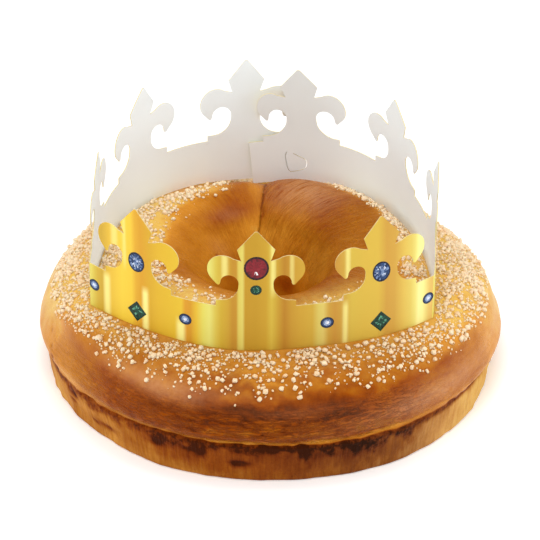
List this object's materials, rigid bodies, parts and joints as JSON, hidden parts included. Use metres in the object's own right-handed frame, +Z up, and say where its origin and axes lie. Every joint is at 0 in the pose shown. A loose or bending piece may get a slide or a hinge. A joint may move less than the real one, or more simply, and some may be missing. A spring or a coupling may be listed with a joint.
{
  "type": "brioche king cake",
  "caption": "Ring-shaped brioche king cake baked in a shallow round mould, with a paper crown of fleurs-de-lis resting on it.",
  "frame": {"origin": "on the table, below the middle of the object's box", "axes": "+Z up from the table, -Y towards the front of the cake (the middle fleur-de-lis of the crown), +X to its right"},
  "size_m": [0.2602, 0.262, 0.1442],
  "materials": {
    "crust": "glossy egg-washed crust, golden brown",
    "sugar": "matt pearl sugar, creamy white",
    "gold_card": "glossy printed gold outside, white inside",
    "jewel_print": "glossy printed jewels"
  },
  "bodies": {
    "root": {"brioche": "crust", "crown": "gold_card"}
  },
  "joints": []
}
